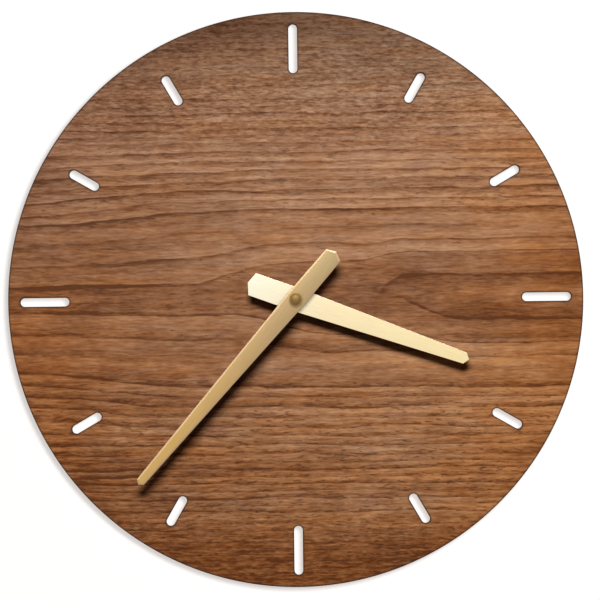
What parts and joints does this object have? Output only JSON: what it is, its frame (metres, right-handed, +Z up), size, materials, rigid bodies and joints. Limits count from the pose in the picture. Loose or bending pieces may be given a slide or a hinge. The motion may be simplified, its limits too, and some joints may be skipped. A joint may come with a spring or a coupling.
{
  "type": "wall clock",
  "caption": "Round wooden wall clock with hour marks cut through the board, two tapered metal hands and a battery quartz movement with its gear train behind.",
  "frame": {"origin": "where the axis of the hands meets the flat back of the movement, on the wall plane", "axes": "+Y into the wall, -Y towards the viewer, +X to the viewer's right, +Z up"},
  "size_m": [0.3, 0.036, 0.3],
  "materials": {
    "walnut": "oiled walnut veneer with laser-darkened edges",
    "pale_gold": "brushed pale gold anodising",
    "deep_gold": "brushed gold anodising",
    "brass": "turned brass",
    "black_rubber": "moulded black rubber",
    "zinc_steel": "zinc-plated sheet",
    "black_plastic": "fine textured moulding",
    "pale_plastic": "natural acetal moulding",
    "magnet": "sintered magnet",
    "copper_wire": "enamelled copper wire",
    "green_board": "solder-masked laminate",
    "black_resin": "drop of potting resin",
    "bright_can": "nickel plate",
    "cell_jacket": "plain printed jacket, unmarked"
  },
  "bodies": {
    "clock_body": {"dial_board": "walnut", "threaded_bush": "brass", "rubber_washer": "black_rubber", "brass_washer": "brass", "hex_nut": "brass", "hanger": "zinc_steel", "case_front": "black_plastic", "case_back": "black_plastic", "gear_bridge": "pale_plastic", "stator": "zinc_steel", "coil_core": "zinc_steel", "coil_bobbin": "pale_plastic", "coil_winding": "copper_wire", "circuit_board": "green_board", "circuit_chip": "black_resin", "quartz_crystal": "bright_can", "contact_positive": "bright_can", "contact_negative": "bright_can", "battery_cell": "cell_jacket"},
    "minute_work": {"minute_arbor": "brass", "minute_hand": "deep_gold", "minute_hand_collet": "brass", "cap_nut": "brass"},
    "hour_work": {"hour_wheel": "pale_plastic", "hour_hand": "pale_gold", "hour_hand_collet": "brass"},
    "setting_work": {"minute_wheel": "pale_plastic", "setting_knob": "pale_plastic"},
    "second_work": {"second_wheel": "pale_plastic"},
    "intermediate_work": {"intermediate_wheel": "pale_plastic"},
    "rotor": {"rotor_pinion": "pale_plastic", "rotor_magnet": "magnet"},
    "third_work": {"third_wheel": "pale_plastic"},
    "centre_work": {"centre_wheel": "pale_plastic"}
  },
  "joints": [
    {"name": "minute_turn", "type": "hinge", "parent": "clock_body", "child": "minute_work", "pos_m": [0, 0, 0], "axis": [0, 1, 0], "continuous": true},
    {"name": "hour_turn", "type": "hinge", "parent": "clock_body", "child": "hour_work", "pos_m": [0, 0, 0], "axis": [0, 1, 0], "continuous": true},
    {"name": "setting_turn", "type": "hinge", "parent": "clock_body", "child": "setting_work", "pos_m": [-0.01195, 0, 0], "axis": [0, 1, 0], "continuous": true},
    {"name": "second_turn", "type": "hinge", "parent": "clock_body", "child": "second_work", "pos_m": [0, 0, 0], "axis": [0, 1, 0], "continuous": true},
    {"name": "intermediate_turn", "type": "hinge", "parent": "clock_body", "child": "intermediate_work", "pos_m": [0, 0, 0.0119], "axis": [0, 1, 0], "continuous": true},
    {"name": "rotor_turn", "type": "hinge", "parent": "clock_body", "child": "rotor", "pos_m": [0.00793, 0, 0.0156], "axis": [0, 1, 0], "continuous": true},
    {"name": "third_turn", "type": "hinge", "parent": "clock_body", "child": "third_work", "pos_m": [0.0112, 0, 0], "axis": [0, 1, 0], "continuous": true},
    {"name": "centre_turn", "type": "hinge", "parent": "clock_body", "child": "centre_work", "pos_m": [0, 0, 0], "axis": [0, 1, 0], "continuous": true}
  ],
  "couplings": [
    {"joint": "hour_turn", "follows": "minute_turn", "ratio": 0.083333},
    {"joint": "setting_turn", "follows": "minute_turn", "ratio": -0.25},
    {"joint": "intermediate_turn", "follows": "second_turn", "ratio": -5},
    {"joint": "rotor_turn", "follows": "second_turn", "ratio": 30},
    {"joint": "third_turn", "follows": "second_turn", "ratio": -0.13333},
    {"joint": "centre_turn", "follows": "second_turn", "ratio": 0.016667}
  ]
}
